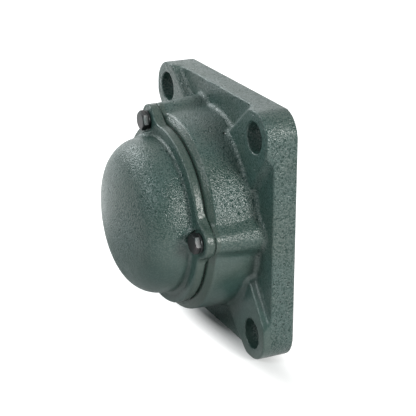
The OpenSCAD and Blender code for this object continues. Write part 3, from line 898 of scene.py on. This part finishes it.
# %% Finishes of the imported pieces
by_slot = {"casting_paint": paint, "black_screw": black_screw, "gasket_board": gasket_board,
           "ground_steel": ground_steel, "cage_polymer": cage_polymer, "seal_rubber": seal_rubber,
           "plated_sheet": plated_sheet, "nipple_plate": nipple_plate}
for part in frame["record"]["subparts"]:
    for material_slot in frame["nodes"][part["node"]].material_slots:
        material_slot.material = by_slot[part["material_slot"]]

# %% [markdown]
# On the castings, paint stays on the outside and in the bolt holes. The faces that were cut after
# casting are found by their distance to the cuts of the housing, and by their depth on the cover.
# Both pieces list the paint first and the bare iron second.

# %% Bare iron on the castings
def bare_faces(piece, is_bare):
    """Gives a piece paint and bare iron; is_bare takes the faces' middles (x, s, z) in mm."""
    middles = np.empty(len(piece.data.polygons) * 3)
    piece.data.polygons.foreach_get("center", middles)
    x, y, z = middles.reshape(-1, 3).T / MM
    bare = is_bare(x, -y, z)
    piece.data.materials.append(paint)
    piece.data.materials.append(machined_iron)
    piece.data.polygons.foreach_set("material_index", bare.astype(np.int32))
    print(piece.name, "bare faces:", int(bare.sum()), "of", len(bare))


def housing_bare(x, s, z):
    """On a cut but not in a bolt hole, on the back face, or on the joint inside its painted rim."""
    bolt_hole = np.hypot(np.abs(x) - bolt_half, np.abs(z) - bolt_half) - bolt_r
    cut = (np.abs(housing_cuts(x, s, z)) < 0.3) & (bolt_hole > 0.4)
    return cut | (s < 0.2) | ((s > hub_depth - 0.15) & (np.hypot(x, z) < 46))


def cover_bare(x, s, z):
    """Behind the joint, or on it inside its painted rim."""
    return (s < joint_s + 0.15) & (np.hypot(x, z) < 45)


bare_faces(housing, housing_bare)
bare_faces(cover, cover_bare)

# %% [markdown]
# The floor is one large pale sheet. The photograph's paper is overexposed to plain white, with only
# the deepest part of the shadow left, below the flange. More lamps would bleach the paper too, but
# the bearing with it. So the floor glows: for rays that come straight from the camera, apart from a
# patch round the flange's foot, and for mirror-like rays that meet it further away. The Light Path
# node tells those rays apart, and the light that falls on the bearing stays as it is.

# %% Floor
floor_z = -flange_half * MM
floor_mesh = bpy.data.meshes.new("floor")
corners = [(-6, -6, floor_z), (6, -6, floor_z), (6, 6, floor_z), (-6, 6, floor_z)]
floor_mesh.from_pydata(corners, [], [(0, 1, 2, 3)])
floor = bpy.data.objects.new("floor", floor_mesh)
bpy.context.scene.collection.objects.link(floor)
print("floor at z =", round(floor_z, 5))

# %% [markdown]
# The shadow's patch is a distance that counts x only by an eighth, so it is long and narrow like
# the flange's foot. Mirror-like rays see the sheet darker in front, because the bearing hides the
# light from the floor near it, and the room in front is dim.

# %% Paper of the floor
def mirrored(tree, path):
    """1 for rays that left a shiny or a clear surface."""
    return calculated(tree, "ADD", path.outputs["Is Glossy Ray"],
                      path.outputs["Is Transmission Ray"], clamp=True)


foot_spot, front_spot = (-0.001, -0.012, floor_z), (-0.04, -0.08, floor_z)
paper, tree, surface, place = new_finish("paper", Base_Color=(0.62, 0.62, 0.62, 1), Roughness=0.9,
                                         Specular_IOR_Level=0.1, Emission_Color=(1, 1, 1, 1))
path = node(tree, "LightPath")
narrow = node(tree, "Mapping", {"Vector": place, "Scale": (0.12, 1, 1)}).outputs["Vector"]
foot = distance_to(tree, narrow, foot_spot)
far = distance_to(tree, place, front_spot)
depth = node(tree, "SeparateXYZ", {"Vector": place}).outputs["Y"]
sheet = calculated(tree, "MAXIMUM", spread(tree, foot, 0.003, 0.015, 0.0, 0.9),
                   spread(tree, far, 0.25, 0.7))
sweep = calculated(tree, "MULTIPLY", spread(tree, far, 0.08, 0.15),
                   spread(tree, depth, -0.38, -0.22, 0.1, 1.0))
straight = calculated(tree, "MULTIPLY", path.outputs["Is Camera Ray"], sheet)
glancing = calculated(tree, "MULTIPLY", mirrored(tree, path), sweep)
glow = calculated(tree, "ADD", straight, glancing)
tree.links.new(glow, surface.inputs["Emission Strength"])
floor_mesh.materials.append(paper)
print("paper nodes:", len(tree.nodes))

# %% [markdown]
# The camera stands where the photographer stood. Its angle and distance were worked out from the
# positions of the bolt holes, the rim and the flange corners in the photograph, so they are plain
# numbers here. The lens is long, as the nearly parallel edges of the flange show.

# %% Camera
azimuth, elevation, roll = math.radians(64.777), math.radians(20.435), math.radians(0.098)
shift_right, shift_up, distance = -14.906, -3.759, 708.83
image_px, focal_px = 416, 1356.26
right = np.array([math.cos(azimuth), math.sin(azimuth), 0.0])
back = np.array([math.sin(azimuth) * math.cos(elevation), -math.cos(azimuth) * math.cos(elevation),
                 math.sin(elevation)])
up = np.cross(back, right)
right, up = (math.cos(roll) * right + math.sin(roll) * up,
             math.cos(roll) * up - math.sin(roll) * right)
stand = (shift_right * right + shift_up * up + distance * back) * MM
camera_data = bpy.data.cameras.new("camera")
camera_data.sensor_width = 36
camera_data.lens = focal_px * camera_data.sensor_width / image_px
camera_data.clip_start = 0.01
camera_data.clip_end = 20
camera = bpy.data.objects.new("camera", camera_data)
camera.matrix_world = Matrix((
    (right[0], up[0], back[0], stand[0]),
    (right[1], up[1], back[1], stand[1]),
    (right[2], up[2], back[2], stand[2]),
    (0, 0, 0, 1),
))
bpy.context.scene.collection.objects.link(camera)
bpy.context.scene.camera = camera
print("camera at", np.round(stand, 4), "lens", round(camera_data.lens, 2))

# %% [markdown]
# The bright band on the flange's edge says that the main light comes from the right and a little
# behind. The sheen on top of the cover comes from the left and behind, and the crown is lit from
# where it points. So soft lamps stand there, with a weak one at the back, all 1.2 m away. None
# stands near the camera, and that leaves a dark ring round the crown.

# %% Lamps
lamp_distance, aim = 1.2, np.array([0.0, -0.03, 0.0])
warm, cool = (1.0, 1.0, 0.97), (0.92, 0.99, 1.0)


def area_lamp(name, turn, rise, size, energy, color):
    """Square lamp aimed at the bearing, at an angle round it and an angle above the floor."""
    data = bpy.data.lights.new(name, "AREA")
    data.shape = "SQUARE"
    data.size = size
    data.energy = energy
    data.color = color
    turn, rise = math.radians(turn), math.radians(rise)
    z = np.array([math.cos(rise) * math.cos(turn), math.cos(rise) * math.sin(turn), math.sin(rise)])
    x = np.cross([0.0, 0.0, 1.0], z)
    x = x / np.linalg.norm(x)
    y = np.cross(z, x)
    place = aim + lamp_distance * z
    lamp = bpy.data.objects.new(name, data)
    lamp.matrix_world = Matrix(((x[0], y[0], z[0], place[0]), (x[1], y[1], z[1], place[1]),
                                (x[2], y[2], z[2], place[2]), (0, 0, 0, 1)))
    bpy.context.scene.collection.objects.link(lamp)
    return lamp


lamps = [area_lamp("lamp_right", 18, 21, 0.32, 9.5, warm),
         area_lamp("lamp_left", 204, 34, 0.50, 6.6, cool),
         area_lamp("lamp_front", 278, 34, 0.42, 5.0, cool),
         area_lamp("lamp_back", 165, 22, 0.40, 0.8, cool)]
print("lamps in watts:", {lamp.name: round(lamp.data.energy, 1) for lamp in lamps})

# %% [markdown]
# White paper stands behind the bearing and on both sides, and the camera sees it as plain white.
# The room in front of it is darker. Only shiny surfaces show that, as the ring round the crown
# does: for mirror-like rays the world's strength falls towards the front, by the direction of the
# ray. A real room round the scene would need more pieces and light for the same picture. All other
# light from the world is weak, so the shadows keep.

# %% World
front_heading, plain_strength = (0.42, -0.90, 0.1), 0.16
world = bpy.data.worlds.new("studio")
bpy.context.scene.world = world
world.use_nodes = True
tree = world.node_tree
background = tree.nodes["Background"]
background.inputs["Color"].default_value = (1, 1, 1, 1)
path = node(tree, "LightPath")
heading = node(tree, "TexCoord").outputs["Generated"]
forward = node(tree, "VectorMath", {0: heading, 1: front_heading}, operation="DOT_PRODUCT")
reflected = calculated(tree, "MULTIPLY", mirrored(tree, path),
                       spread(tree, forward.outputs["Value"], 0.35, 0.65, 1.0, 0.3))
shown = calculated(tree, "MAXIMUM", path.outputs["Is Camera Ray"], reflected)
tree.links.new(calculated(tree, "MAXIMUM", shown, plain_strength), background.inputs["Strength"])
bpy.context.scene.view_settings.view_transform = "Standard"
print("world nodes:", len(tree.nodes), "view:", bpy.context.scene.view_settings.view_transform)

# %% [markdown]
# Last, the scene is brought up to date.

# %% Finish
bpy.context.view_layer.update()
